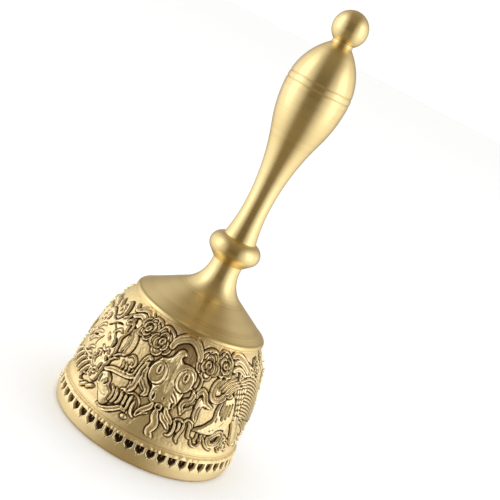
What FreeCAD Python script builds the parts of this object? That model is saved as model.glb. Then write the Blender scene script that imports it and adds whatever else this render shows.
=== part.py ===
"""Brass hand bell: a relief-cast cup under a turned cap, collar bead, baluster handle and ball finial,
all clamped by one eye bolt, with a clapper that hangs inside on a jump ring.

Millimetres, +Z up. The origin is the centre of the mouth, in the plane that the rim stands on.
Every turned piece is a sketch in the XZ plane, where x is a radius, revolved about Z.
"""
import FreeCAD, Part
import os
import re
import Sketcher
from FreeCAD import Placement, Rotation, Vector

# Driving dimensions. r_ is a radius from the axis, z_ a height above the rim, arc_ an arc's own radius.
SIZES = {
    # cup
    "rim_fillet": 0.9, "r_rim": 27.6, "r_rim_belly": 28.1, "z_rim_belly": 2.2,
    "z_channel_low": 3.4, "z_channel_high": 6.4, "r_channel": 26.7,
    "r_border": 27.4, "z_border_top": 7.7, "r_ground": 26.9,
    "arc_flank": 72.0, "r_flank_top": 24.3, "z_flank_top": 31.0, "arc_shoulder": 18.0,
    "r_crown": 20.1, "z_crown_edge": 38.1, "crown_chamfer": 0.6,
    "r_mouth": 24.6, "r_bow": 23.6, "z_bow": 5.0, "r_cavity": 23.8, "z_cavity": 18.0,
    "r_cavity_top": 16.0, "z_cavity_top": 36.6, "arc_cavity": 20.0,
    "tongue_width": 2.2, "tongue_out": 28.3, "tongue_root": 26.2, "tongue_count": 54,
    "z_tongue_low": 3.7,
    # shoulder cap
    "r_neck": 4.5, "z_neck": 54.9, "z_cap_top": 56.2, "arc_neck": 10.0,
    "r_cone_top": 8.94, "z_cone_top": 46.57, "r_cone_foot": 19.45, "z_cone_foot": 39.95,
    "r_lip": 20.25, "z_lip": 39.15, "arc_lip": 0.95, "lip_chamfer": 0.25,
    "z_cap_roof": 45.4, "r_cap_roof": 6.6, "r_cap_seat": 15.6, "z_cap_seat": 39.7,
    # collar bead
    "r_collar": 7.77, "z_collar": 60.5, "arc_collar_up": 3.4, "arc_collar_down": 3.2,
    "r_collar_top": 5.19, "z_collar_top": 63.8, "r_collar_taper": 6.83, "z_collar_taper": 58.24,
    "r_collar_foot": 4.79,
    # handle grip
    "arc_foot": 51.0, "r_waist": 3.69, "arc_waist": 70.0, "arc_belly": 40.0,
    "r_grip": 9.5, "z_grip": 110.0, "arc_grip_top": 18.5, "r_grip_neck": 3.1, "z_grip_top": 124.2,
    "groove_wire": 0.45, "groove_depth": 0.2, "z_groove_low": 110.35, "z_groove_high": 112.25,
    "thread_bore": 2.0, "z_thread_end": 82.0, "tenon_bore": 1.55, "z_tenon_bore": 118.0,
    # finial ball
    "ball": 5.1, "z_ball": 128.9, "ball_neck": 3.05, "tenon": 1.5, "z_tenon": 118.4,
    # clamping hardware
    "bolt": 1.95, "bolt_bore": 2.1, "z_bolt_top": 80.0, "z_bolt_low": 33.3, "bolt_tip": 1.2,
    "bolt_chamfer": 0.6, "eye_ring": 1.9, "eye_wire": 0.75, "z_eye": 31.05,
    "washer": 5.5, "washer_thick": 0.8, "nut_flats": 7.0, "nut_thick": 2.0, "nut_bore": 2.0,
    # hanging clapper
    "link_ring": 2.4, "link_wire": 0.5, "link_play": 0.05, "link_split": 0.2,
    "loop_ring": 1.6, "loop_wire": 0.7, "rod": 0.8, "bob": 7.0, "z_bob": 8.7, "bob_flat": 6.7,
    "bob_bore": 0.83, "swage": 1.4, "swage_thick": 0.5, "peen": 1.6, "peen_thick": 0.9,
}

doc = FreeCAD.newDocument("hand_bell")
sheet = doc.addObject("Spreadsheet::Sheet", "Sizes")
for row, (alias, value) in enumerate(SIZES.items(), start=1):
    sheet.set(f"A{row}", alias)
    sheet.set(f"B{row}", str(value))
    sheet.setAlias(f"B{row}", alias)
doc.recompute()


def size(name):
    """A number of the sheet."""
    return float(sheet.get(name))


def cells(text):
    """An expression in aliases, written so that the document's objects can use it."""
    return re.sub(r"[a-z_]+", lambda word: ("Sizes." if word[0] in SIZES else "") + word[0], text)


def worth(text):
    """What an expression in aliases comes to, as a first guess for the sketch solver."""
    total, sign = 0.0, 1
    for word in text.split():
        if word in "+-":
            sign = 1 if word == "+" else -1
        else:
            factors = [size(w) if w in SIZES else float(w) for w in word.split("*")]
            value = factors[0]
            for factor in factors[1:]:
                value *= factor
            total += sign * value
    return total


def new_body(label):
    """An empty PartDesign body. Its label names the file that it is written to."""
    body = doc.addObject("PartDesign::Body", label)
    body.Label = label
    return body


def origin_feature(body, role):
    """One of the body's own origin planes or axes."""
    return next(f for f in body.Origin.OriginFeatures if f.Role == role)


def new_sketch(body, name, role="XZ_Plane"):
    """An empty sketch on one of the body's own origin planes."""
    sketch = body.newObject("Sketcher::SketchObject", name)
    sketch.AttachmentSupport = (origin_feature(body, role), [""])
    sketch.MapMode = "FlatFace"
    return sketch


def bind(sketch, constraint, text):
    """Adds a dimension and ties it to the sheet."""
    index = sketch.addConstraint(constraint)
    sketch.setExpression(f"Constraints[{index}]", cells(text))


def arc_between(start, end, radius):
    """The shorter arc of that radius. A positive radius bulges to the right of the way from start to end."""
    chord = end - start
    half = chord.Length / 2
    rise = (radius * radius - half * half) ** 0.5
    side = Vector(-chord.y, chord.x, 0).normalize() * (1 if radius > 0 else -1)
    centre = (start + end) / 2 + side * rise
    outward = ((start + end) / 2 - centre).normalize()
    return Part.Arc(start, centre + outward * abs(radius), end)


def outline(sketch, corners, arcs=None):
    """Draws a closed outline through corners, each a pair of expressions, anticlockwise with x outward.

    arcs names the arc radius of the side that leaves a corner, by the corner's index.
    """
    arcs = arcs or {}
    points = [Vector(worth(x), worth(y), 0) for x, y in corners]
    count = len(points)
    ends = {}
    for i, start in enumerate(points):
        end = points[(i + 1) % count]
        if i in arcs:
            bulge = arcs[i]
            sign = -1 if bulge.startswith("-") else 1
            curve = arc_between(start, end, sign * worth(bulge.lstrip("-")))
            sketch.addGeometry(curve)
            # Sketcher stores every arc anticlockwise about its centre, so a hollow one starts at its far end.
            ends[i] = (1, 2) if sign > 0 else (2, 1)
        else:
            sketch.addGeometry(Part.LineSegment(start, end))
            ends[i] = (1, 2)
    for i in range(count):
        nxt = (i + 1) % count
        sketch.addConstraint(Sketcher.Constraint("Coincident", i, ends[i][1], nxt, ends[nxt][0]))
    for i, (x, y) in enumerate(corners):
        vertex = ends[i][0]
        for kind, text in (("DistanceX", x), ("DistanceY", y)):
            if worth(text) == 0:
                axis = -2 if kind == "DistanceX" else -1
                sketch.addConstraint(Sketcher.Constraint("PointOnObject", i, vertex, axis))
            else:
                bind(sketch, Sketcher.Constraint(kind, -1, 1, i, vertex, worth(text)), text)
        if i in arcs:
            text = arcs[i].lstrip("-")
            bind(sketch, Sketcher.Constraint("Radius", i, worth(text)), text)


def revolve(body, sketch, name="Revolution"):
    """Turns a sketch once round the Z axis."""
    turned = body.newObject("PartDesign::Revolution", name)
    turned.Profile = sketch
    turned.ReferenceAxis = (sketch, ["V_Axis"])
    turned.Angle = 360
    sketch.Visibility = False
    return turned


def turned_body(label, corners, arcs=None):
    """A body made by revolving one outline."""
    body = new_body(label)
    sketch = new_sketch(body, label + "_profile")
    outline(sketch, corners, arcs)
    revolve(body, sketch, label + "_turned")
    return body


def torus_in_body(body, name, ring, wire, height):
    """Adds a wire ring whose hole faces along X, centred on the axis at that height."""
    loop = body.newObject("PartDesign::AdditiveTorus", name)
    loop.setExpression("Radius1", cells(ring))
    loop.setExpression("Radius2", cells(wire))
    loop.Placement = Placement(Vector(0, 0, worth(height)), Rotation(Vector(0, 1, 0), 90))
    loop.setExpression("Placement.Base.z", cells(height))
    return loop


# The flat top of the cup, which the cap stands on.
Z_CROWN = "z_crown_edge + crown_chamfer"


def bell_cup():
    """The cast cup: rim, channel with its row of tongues, border and flank outside, cavity inside."""
    corners = [
        ("r_mouth", "0"), ("r_rim - rim_fillet", "0"), ("r_rim", "rim_fillet"),
        ("r_rim_belly", "z_rim_belly"), ("r_rim_belly", "z_channel_low"), ("r_channel", "z_channel_low"),
        ("r_channel", "z_channel_high"), ("r_border", "z_channel_high"), ("r_border", "z_border_top"),
        ("r_ground", "z_border_top"), ("r_flank_top", "z_flank_top"), ("r_crown", "z_crown_edge"),
        ("r_crown - crown_chamfer", Z_CROWN), ("bolt_bore", Z_CROWN), ("bolt_bore", "z_cavity_top"),
        ("r_cavity_top", "z_cavity_top"), ("r_cavity", "z_cavity"), ("r_bow", "z_bow"),
    ]
    arcs = {1: "rim_fillet", 9: "arc_flank", 10: "arc_shoulder", 15: "-arc_cavity"}
    body = turned_body("bell_cup", corners, arcs)

    tongue = new_sketch(body, "tongue_outline")
    # The XZ plane faces -Y, so this moves the sketch out to the root of the tongues.
    tongue.AttachmentOffset = Placement(Vector(0, 0, size("tongue_root")), Rotation())
    tongue.setExpression("AttachmentOffset.Base.z", cells("tongue_root"))
    half = size("tongue_width") / 2
    top = size("z_channel_high")
    shoulder = size("z_tongue_low") + half
    tongue.addGeometry(Part.LineSegment(Vector(half, shoulder, 0), Vector(half, top, 0)))
    tongue.addGeometry(Part.LineSegment(Vector(half, top, 0), Vector(-half, top, 0)))
    tongue.addGeometry(Part.LineSegment(Vector(-half, top, 0), Vector(-half, shoulder, 0)))
    low = Vector(0, size("z_tongue_low"), 0)
    tongue.addGeometry(Part.Arc(Vector(-half, shoulder, 0), low, Vector(half, shoulder, 0)))
    for here, after in ((0, 1), (1, 2)):
        tongue.addConstraint(Sketcher.Constraint("Coincident", here, 2, after, 1))
    tongue.addConstraint(Sketcher.Constraint("Tangent", 2, 2, 3, 1))
    tongue.addConstraint(Sketcher.Constraint("Tangent", 3, 2, 0, 1))
    for upright in (0, 2):
        tongue.addConstraint(Sketcher.Constraint("Vertical", upright))
    tongue.addConstraint(Sketcher.Constraint("Symmetric", 0, 2, 1, 2, -2))
    bind(tongue, Sketcher.Constraint("Radius", 3, half), "tongue_width * 0.5")
    bind(tongue, Sketcher.Constraint("DistanceY", -1, 1, 0, 2, top), "z_channel_high")
    centre_height = "z_tongue_low + tongue_width * 0.5"
    bind(tongue, Sketcher.Constraint("DistanceY", -1, 1, 3, 3, shoulder), centre_height)

    pad = body.newObject("PartDesign::Pad", "tongue")
    pad.Profile = tongue
    pad.setExpression("Length", cells("tongue_out - tongue_root"))
    tongue.Visibility = False
    doc.recompute()
    row = body.newObject("PartDesign::PolarPattern", "tongue_row")
    row.Originals = [pad]
    row.Axis = (origin_feature(body, "Z_Axis"), [""])
    row.Angle = 360
    row.setExpression("Occurrences", cells("tongue_count"))
    body.Tip = row
    return body


def shoulder_cap():
    """The turned cap: a trumpet neck that flares into a cone with a rounded lip, hollow underneath."""
    corners = [
        ("r_cap_seat", Z_CROWN), ("r_lip - lip_chamfer", Z_CROWN), ("r_lip", Z_CROWN + " + lip_chamfer"),
        ("r_lip", "z_lip"), ("r_cone_foot", "z_cone_foot"), ("r_cone_top", "z_cone_top"),
        ("r_neck", "z_neck"), ("r_neck", "z_cap_top"), ("bolt_bore", "z_cap_top"),
        ("bolt_bore", "z_cap_roof"), ("r_cap_roof", "z_cap_roof"), ("r_cap_seat", "z_cap_seat"),
    ]
    return turned_body("shoulder_cap", corners, {3: "arc_lip", 5: "-arc_neck"})


def collar_bead():
    """The bead between the cap's neck and the handle: full above, tapered below."""
    corners = [
        ("bolt_bore", "z_cap_top"), ("r_collar_foot", "z_cap_top"), ("r_collar_taper", "z_collar_taper"),
        ("r_collar", "z_collar"), ("r_collar_top", "z_collar_top"), ("bolt_bore", "z_collar_top"),
    ]
    return turned_body("collar_bead", corners, {2: "arc_collar_down", 3: "arc_collar_up"})


def handle_grip():
    """The baluster grip. Its outside is four arcs that meet smoothly, so only radii and ends are set."""
    body = new_body("handle_grip")
    sketch = new_sketch(body, "handle_grip_profile")
    foot, top = size("z_collar_top"), size("z_grip_top")
    waist, belly, upper = size("arc_waist"), size("arc_belly"), size("arc_grip_top")
    across = size("r_waist") + waist - (size("r_grip") - belly)
    z_waist = size("z_grip") - ((waist + belly) ** 2 - across ** 2) ** 0.5
    waist_centre = Vector(size("r_waist") + waist, z_waist, 0)
    belly_centre = Vector(size("r_grip") - belly, size("z_grip"), 0)
    bend = waist_centre + (belly_centre - waist_centre) * (waist / (waist + belly))
    at_waist = Vector(size("r_waist"), z_waist, 0)
    at_grip = Vector(size("r_grip"), size("z_grip"), 0)
    drop = size("r_grip") - size("r_grip_neck")
    at_neck = at_grip + Vector(-drop, (upper ** 2 - (upper - drop) ** 2) ** 0.5, 0)
    z_foot_run = z_waist - foot
    r_foot = size("r_waist") + size("arc_foot") - (size("arc_foot") ** 2 - z_foot_run ** 2) ** 0.5
    at_foot = Vector(r_foot, foot, 0)
    bore, deep = size("thread_bore"), size("z_thread_end")
    tenon, tenon_low = size("tenon_bore"), size("z_tenon_bore")
    tip = deep + bore * 0.5
    shoulders = [
        Vector(size("r_grip_neck"), top, 0), Vector(tenon, top, 0), Vector(tenon, tenon_low, 0),
        Vector(0, tenon_low, 0), Vector(0, tip, 0), Vector(bore, deep, 0), Vector(bore, foot, 0),
    ]
    sides = [
        (arc_between(at_foot, at_waist, -size("arc_foot")), (2, 1)),
        (arc_between(at_waist, bend, -waist), (2, 1)),
        (arc_between(bend, at_grip, belly), (1, 2)),
        (arc_between(at_grip, at_neck, upper), (1, 2)),
    ]
    path = [at_neck] + shoulders + [at_foot]
    sides += [(Part.LineSegment(a, b), (1, 2)) for a, b in zip(path, path[1:])]
    for curve, _ in sides:
        sketch.addGeometry(curve)
    count = len(sides)
    smooth = (0, 1, 2)
    for i in range(count):
        nxt = (i + 1) % count
        kind = "Tangent" if i in smooth else "Coincident"
        sketch.addConstraint(Sketcher.Constraint(kind, i, sides[i][1][1], nxt, sides[nxt][1][0]))
    for i, name in enumerate(("arc_foot", "arc_waist", "arc_belly", "arc_grip_top")):
        bind(sketch, Sketcher.Constraint("Radius", i, size(name)), name)
    # The waist is upright where the two hollow arcs meet, and so is the widest ring of the grip.
    sketch.addConstraint(Sketcher.Constraint("Horizontal", 1, 2, 1, 3))
    sketch.addConstraint(Sketcher.Constraint("Horizontal", 3, 1, 3, 3))
    bind(sketch, Sketcher.Constraint("DistanceX", -1, 1, 1, 2, size("r_waist")), "r_waist")
    bind(sketch, Sketcher.Constraint("DistanceX", -1, 1, 3, 1, size("r_grip")), "r_grip")
    bind(sketch, Sketcher.Constraint("DistanceY", -1, 1, 3, 1, size("z_grip")), "z_grip")
    bind(sketch, Sketcher.Constraint("DistanceY", -1, 1, 0, 2, foot), "z_collar_top")
    for upright in (4, 6, 8, 10):
        sketch.addConstraint(Sketcher.Constraint("Vertical", upright))
    for level in (5, 7, 11):
        sketch.addConstraint(Sketcher.Constraint("Horizontal", level))
    sketch.addConstraint(Sketcher.Constraint("PointOnObject", 8, 1, -2))
    bind(sketch, Sketcher.Constraint("DistanceX", -1, 1, 4, 1, size("r_grip_neck")), "r_grip_neck")
    bind(sketch, Sketcher.Constraint("DistanceY", -1, 1, 4, 2, top), "z_grip_top")
    bind(sketch, Sketcher.Constraint("DistanceX", -1, 1, 6, 1, tenon), "tenon_bore")
    bind(sketch, Sketcher.Constraint("DistanceY", -1, 1, 6, 2, tenon_low), "z_tenon_bore")
    bind(sketch, Sketcher.Constraint("DistanceY", -1, 1, 8, 2, tip), "z_thread_end + thread_bore * 0.5")
    bind(sketch, Sketcher.Constraint("DistanceX", -1, 1, 10, 1, bore), "thread_bore")
    bind(sketch, Sketcher.Constraint("DistanceY", -1, 1, 10, 1, deep), "z_thread_end")
    revolve(body, sketch, "handle_grip_turned")

    grooves = new_sketch(body, "groove_section")
    wire = size("groove_wire")
    reach = "r_grip + groove_wire - groove_depth"
    out = worth(reach)
    for i, name in enumerate(("z_groove_low", "z_groove_high")):
        grooves.addGeometry(Part.Circle(Vector(out, size(name), 0), Vector(0, 0, 1), wire))
        bind(grooves, Sketcher.Constraint("Radius", i, wire), "groove_wire")
        bind(grooves, Sketcher.Constraint("DistanceX", -1, 1, i, 3, out), reach)
        bind(grooves, Sketcher.Constraint("DistanceY", -1, 1, i, 3, size(name)), name)
    cut = body.newObject("PartDesign::Groove", "grip_grooves")
    cut.Profile = grooves
    cut.ReferenceAxis = (grooves, ["V_Axis"])
    cut.Angle = 360
    grooves.Visibility = False
    return body


def finial_ball():
    """The ball on the handle's end, with its short neck and the tenon that holds it."""
    body = new_body("finial_ball")
    sketch = new_sketch(body, "finial_ball_profile")
    ball, centre = size("ball"), size("z_ball")
    neck, seat = size("ball_neck"), size("z_grip_top")
    tenon, low = size("tenon"), size("z_tenon")
    meet = centre - (ball ** 2 - neck ** 2) ** 0.5
    corners = [
        Vector(0, low, 0), Vector(tenon, low, 0), Vector(tenon, seat, 0),
        Vector(neck, seat, 0), Vector(neck, meet, 0),
    ]
    for a, b in zip(corners, corners[1:]):
        sketch.addGeometry(Part.LineSegment(a, b))
    top = Vector(0, centre + ball, 0)
    sketch.addGeometry(Part.Arc(corners[-1], Vector(ball, centre, 0), top))
    sketch.addGeometry(Part.LineSegment(top, corners[0]))
    for i in range(6):
        sketch.addConstraint(Sketcher.Constraint("Coincident", i, 2, (i + 1) % 6, 1))
    for level in (0, 2):
        sketch.addConstraint(Sketcher.Constraint("Horizontal", level))
    for upright in (1, 3):
        sketch.addConstraint(Sketcher.Constraint("Vertical", upright))
    sketch.addConstraint(Sketcher.Constraint("PointOnObject", 0, 1, -2))
    sketch.addConstraint(Sketcher.Constraint("PointOnObject", 4, 3, -2))
    sketch.addConstraint(Sketcher.Constraint("PointOnObject", 4, 2, -2))
    bind(sketch, Sketcher.Constraint("Radius", 4, ball), "ball")
    bind(sketch, Sketcher.Constraint("DistanceY", -1, 1, 4, 3, centre), "z_ball")
    bind(sketch, Sketcher.Constraint("DistanceX", -1, 1, 1, 1, tenon), "tenon")
    bind(sketch, Sketcher.Constraint("DistanceY", -1, 1, 1, 1, low), "z_tenon")
    bind(sketch, Sketcher.Constraint("DistanceX", -1, 1, 3, 1, neck), "ball_neck")
    bind(sketch, Sketcher.Constraint("DistanceY", -1, 1, 3, 1, seat), "z_grip_top")
    revolve(body, sketch, "finial_ball_turned")
    return body


def eye_bolt():
    """The bolt that clamps cap, bead and handle to the cup, with the eye that the clapper hangs from."""
    corners = [
        ("0", "z_bolt_low - bolt_chamfer"), ("bolt_tip", "z_bolt_low - bolt_chamfer"), ("bolt", "z_bolt_low"),
        ("bolt", "z_bolt_top - bolt_chamfer"), ("bolt - bolt_chamfer", "z_bolt_top"), ("0", "z_bolt_top"),
    ]
    body = turned_body("eye_bolt", corners)
    torus_in_body(body, "eye", "eye_ring", "eye_wire", "z_eye")
    return body


def crown_washer():
    """The washer under the crown, inside the cup."""
    corners = [
        ("bolt_bore", "z_cavity_top - washer_thick"), ("washer", "z_cavity_top - washer_thick"),
        ("washer", "z_cavity_top"), ("bolt_bore", "z_cavity_top"),
    ]
    return turned_body("crown_washer", corners)


def crown_nut():
    """The thin hexagon nut that holds the stack, with its corners turned off."""
    body = new_body("crown_nut")
    sketch = new_sketch(body, "crown_nut_hexagon", "XY_Plane")
    corner = size("nut_flats") / 3 ** 0.5
    points = [Rotation(Vector(0, 0, 1), 60 * i).multVec(Vector(corner, 0, 0)) for i in range(6)]
    for i in range(6):
        sketch.addGeometry(Part.LineSegment(points[i], points[(i + 1) % 6]))
    sketch.addGeometry(Part.Circle(Vector(0, 0, 0), Vector(0, 0, 1), corner), True)
    sketch.addGeometry(Part.Circle(Vector(0, 0, 0), Vector(0, 0, 1), size("nut_bore")))
    for i in range(6):
        sketch.addConstraint(Sketcher.Constraint("Coincident", i, 2, (i + 1) % 6, 1))
        sketch.addConstraint(Sketcher.Constraint("PointOnObject", i, 1, 6))
        if i:
            sketch.addConstraint(Sketcher.Constraint("Equal", 0, i))
    sketch.addConstraint(Sketcher.Constraint("PointOnObject", 0, 1, -1))
    for circle in (6, 7):
        sketch.addConstraint(Sketcher.Constraint("Coincident", circle, 3, -1, 1))
    bind(sketch, Sketcher.Constraint("Radius", 6, corner), "nut_flats / sqrt(3)")
    bind(sketch, Sketcher.Constraint("Radius", 7, size("nut_bore")), "nut_bore")
    pad = body.newObject("PartDesign::Pad", "crown_nut_pad")
    pad.Profile = sketch
    pad.setExpression("Length", cells("nut_thick"))
    sketch.Visibility = False
    body.Placement = Placement(Vector(0, 0, worth("z_cavity_top - washer_thick - nut_thick")), Rotation())
    body.setExpression("Placement.Base.z", cells("z_cavity_top - washer_thick - nut_thick"))
    return body


# Heights down the hanging chain: each ring's top wire lies on the wire below it with a little play.
LINK_TOP = "z_eye - eye_ring + eye_wire + link_wire + link_play"
LOOP_TOP = LINK_TOP + " - 2*link_ring + link_wire + loop_wire + link_play"


def hanger_ring():
    """The jump ring between the bolt's eye and the clapper's loop, with its split at one side."""
    ring = doc.addObject("Part::Torus", "jump_ring")
    ring.setExpression("Radius1", cells("link_ring"))
    ring.setExpression("Radius2", cells("link_wire"))
    split = doc.addObject("Part::Box", "jump_ring_split")
    split.setExpression("Length", cells("link_wire * 4"))
    split.setExpression("Width", cells("link_split"))
    split.setExpression("Height", cells("link_wire * 4"))
    split.setExpression("Placement.Base.x", cells("link_ring - link_wire * 2"))
    split.setExpression("Placement.Base.y", cells("0 - link_split * 0.5"))
    split.setExpression("Placement.Base.z", cells("0 - link_wire * 2"))
    cut = doc.addObject("Part::Cut", "hanger_ring")
    cut.Base = ring
    cut.Tool = split
    cut.Label = "hanger_ring"
    cut.Placement = Placement(Vector(0, 0, worth(LINK_TOP + " - link_ring")), Rotation(Vector(1, 0, 0), 90))
    return cut


def clapper_rod():
    """The clapper's wire: a loop above, a swage that stops the bob and a peened end below it."""
    bob_top, bob_foot = "z_bob + bob_flat", "z_bob - bob_flat"
    loop_foot = LOOP_TOP + " - 2*loop_ring"
    corners = [
        ("0", bob_foot + " - peen_thick"), ("rod", bob_foot + " - peen_thick"),
        ("peen", bob_foot + " - peen_thick*0.4"), ("peen", bob_foot), ("rod", bob_foot),
        ("rod", bob_top), ("swage", bob_top), ("swage", bob_top + " + swage_thick"),
        ("rod", bob_top + " + 2*swage_thick"), ("rod", loop_foot), ("0", loop_foot),
    ]
    body = turned_body("clapper_rod", corners)
    torus_in_body(body, "loop", "loop_ring", "loop_wire", LOOP_TOP + " - loop_ring")
    return body


def clapper_bob():
    """The striking ball, faced flat above and below and drilled for the wire."""
    body = new_body("clapper_bob")
    sketch = new_sketch(body, "clapper_bob_profile")
    bob, centre, flat, bore = size("bob"), size("z_bob"), size("bob_flat"), size("bob_bore")
    out = (bob ** 2 - flat ** 2) ** 0.5
    corners = [
        Vector(out, centre + flat, 0), Vector(bore, centre + flat, 0),
        Vector(bore, centre - flat, 0), Vector(out, centre - flat, 0),
    ]
    for a, b in zip(corners, corners[1:]):
        sketch.addGeometry(Part.LineSegment(a, b))
    sketch.addGeometry(Part.Arc(corners[-1], Vector(bob, centre, 0), corners[0]))
    for i in range(4):
        sketch.addConstraint(Sketcher.Constraint("Coincident", i, 2, (i + 1) % 4, 1))
    for level in (0, 2):
        sketch.addConstraint(Sketcher.Constraint("Horizontal", level))
    sketch.addConstraint(Sketcher.Constraint("Vertical", 1))
    sketch.addConstraint(Sketcher.Constraint("PointOnObject", 3, 3, -2))
    bind(sketch, Sketcher.Constraint("Radius", 3, bob), "bob")
    bind(sketch, Sketcher.Constraint("DistanceY", -1, 1, 3, 3, centre), "z_bob")
    bind(sketch, Sketcher.Constraint("DistanceY", -1, 1, 0, 1, centre + flat), "z_bob + bob_flat")
    bind(sketch, Sketcher.Constraint("DistanceY", -1, 1, 2, 1, centre - flat), "z_bob - bob_flat")
    bind(sketch, Sketcher.Constraint("DistanceX", -1, 1, 1, 1, bore), "bob_bore")
    revolve(body, sketch, "clapper_bob_turned")
    return body


PIECES = [
    bell_cup(), shoulder_cap(), collar_bead(), handle_grip(), finial_ball(), eye_bolt(), crown_washer(),
    crown_nut(), hanger_ring(), clapper_rod(), clapper_bob(),
]
doc.recompute()

failed = [o.Label for o in doc.Objects if {"Invalid", "Error"} & set(o.State)]
if failed:
    raise RuntimeError(f"these objects did not build: {failed}")
os.makedirs("parts", exist_ok=True)
for piece in PIECES:
    shape = piece.Shape
    if shape.isNull() or not shape.isValid() or not shape.Solids:
        raise RuntimeError(f"{piece.Label} has no valid solid")
    shape.exportStep(f"parts/{piece.Label}.step")
    box = shape.BoundBox
    print(f"{piece.Label:14s} {len(shape.Solids)} solid  {shape.Volume / 1000:8.3f} cm3  "
          f"r {box.XMax:6.2f}  z {box.ZMin:6.2f} to {box.ZMax:6.2f}")
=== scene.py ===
"""Brass hand bell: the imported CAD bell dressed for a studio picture.

The turned pieces and the cast cup are rebuilt as fine meshes on the CAD's own sizes. The cup carries its
relief as real geometry: a height field built from strokes, one half turn wide, and used twice round.
Sizes are in millimetres until a mesh is made.
"""
import math
import bpy
import numpy as np
from mathutils import Matrix, Vector


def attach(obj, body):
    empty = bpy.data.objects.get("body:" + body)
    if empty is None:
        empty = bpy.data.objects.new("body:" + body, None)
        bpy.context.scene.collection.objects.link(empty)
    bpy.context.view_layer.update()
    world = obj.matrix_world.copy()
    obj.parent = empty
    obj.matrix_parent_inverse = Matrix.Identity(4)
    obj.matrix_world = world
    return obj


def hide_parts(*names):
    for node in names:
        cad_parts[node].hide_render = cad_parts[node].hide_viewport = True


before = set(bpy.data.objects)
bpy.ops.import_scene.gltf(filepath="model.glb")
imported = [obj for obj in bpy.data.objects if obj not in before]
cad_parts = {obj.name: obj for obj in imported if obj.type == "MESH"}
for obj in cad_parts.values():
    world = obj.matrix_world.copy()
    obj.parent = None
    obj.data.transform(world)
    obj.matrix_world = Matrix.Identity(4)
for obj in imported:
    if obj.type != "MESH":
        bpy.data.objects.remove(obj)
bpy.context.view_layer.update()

MM = 0.001

# ---------------------------------------------------------------------------------------------
# Materials
# ---------------------------------------------------------------------------------------------


def new_material(name):
    """A node material with nothing but its shader."""
    material = bpy.data.materials.new(name)
    material.use_nodes = True
    return material


def darker(tone, share):
    """A colour at a share of its strength, opaque."""
    return tuple(c * share for c in tone[:3]) + (1,)


class Nodes:
    """A short way to add and join shader nodes."""

    def __init__(self, tree):
        self.tree = tree
        self.shader = tree.nodes.get("Principled BSDF")

    def add(self, kind, inputs=None, **settings):
        node = self.tree.nodes.new("ShaderNode" + kind)
        for key, value in settings.items():
            setattr(node, key, value)
        for key, value in (inputs or {}).items():
            self.plug(node, key, value)
        return node

    def plug(self, node, key, value):
        """Sets an input, or joins an output socket to it."""
        if isinstance(value, bpy.types.NodeSocket):
            self.tree.links.new(value, node.inputs[key])
        else:
            node.inputs[key].default_value = value

    def stretched(self, across, along):
        """Object coordinates scaled to cycles a metre: across the axis and along it."""
        place = self.add("TexCoord").outputs["Object"]
        return self.add("Mapping", {"Vector": place, "Scale": (across, across, along)}).outputs["Vector"]

    def noise(self, vector, detail=2.0, rough=0.5):
        inputs = {"Vector": vector, "Scale": 1.0, "Detail": detail, "Roughness": rough}
        return self.add("TexNoise", inputs).outputs["Fac"]

    def span(self, value, low, high, to_low=0.0, to_high=1.0):
        """Maps a range of a value onto another, and stops at its ends."""
        inputs = {"Value": value, "From Min": low, "From Max": high, "To Min": to_low, "To Max": to_high}
        return self.add("MapRange", inputs).outputs["Result"]

    def maths(self, operation, a, b=0.0):
        node = self.add("Math", operation=operation)
        self.plug(node, 0, a)
        self.plug(node, 1, b)
        return node.outputs["Value"]

    def mix(self, share, a, b):
        """Mixes two colours. The node keeps its colour sockets at 6, 7 and 2."""
        node = self.add("Mix", data_type="RGBA")
        for key, value in ((0, share), (6, a), (7, b)):
            self.plug(node, key, value)
        return node.outputs[2]

    def bump(self, height, distance, strength):
        inputs = {"Height": height, "Distance": distance, "Strength": strength}
        return self.add("Bump", inputs).outputs["Normal"]

    def shine(self, anisotropy=0.0):
        """Makes the shader metal, brushed round the axis where it is anisotropic."""
        self.plug(self.shader, "Metallic", 1.0)
        if anisotropy:
            self.plug(self.shader, "Anisotropic", anisotropy)
            self.plug(self.shader, "Anisotropic Rotation", 0.25)
            tangent = self.add("Tangent", direction_type="RADIAL", axis="Z").outputs["Tangent"]
            self.plug(self.shader, "Tangent", tangent)


PALE_BRASS = (0.93, 0.77, 0.42, 1)
DEEP_BRASS = (0.82, 0.65, 0.32, 1)
# The worn tone is rubbed brass made paler to stand for highlights on the relief's crests. The dull tone and
# the patina are the ground's brown and the hollows' patina, deepened as painted shade.
WORN_AND_HIGHLIT_BRASS = (1.0, 0.88, 0.60, 1)
CAST_BRASS = (0.98, 0.81, 0.48, 1)
DULL_AND_SHADED_BRASS = (0.62, 0.45, 0.25, 1)
PATINA_AND_SHADE = (0.06, 0.036, 0.018, 1)
PAPER = (0.95, 0.95, 0.945, 1)


def turned_brass():
    """Satin brass brushed on the lathe: fine rings, with a few broader ones among them."""
    material = new_material("turned_brass")
    n = Nodes(material.node_tree)
    fine = n.noise(n.stretched(5, 2600), detail=2.0)
    broad = n.noise(n.stretched(4, 620), detail=2.0)
    cloudy = n.noise(n.stretched(60, 45), detail=3.0)
    rings = n.maths("ADD", n.maths("MULTIPLY", fine, 0.6), n.maths("MULTIPLY", broad, 0.4))
    tone = n.maths("MULTIPLY", n.maths("ADD", rings, cloudy), 0.5)
    n.plug(n.shader, "Base Color", n.mix(n.span(tone, 0.42, 0.58), DEEP_BRASS, PALE_BRASS))
    n.plug(n.shader, "Roughness", n.span(rings, 0.3, 0.7, 0.24, 0.36))
    n.plug(n.shader, "Normal", n.bump(rings, 0.000012, 0.5))
    n.shine(anisotropy=0.6)
    return material


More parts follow.
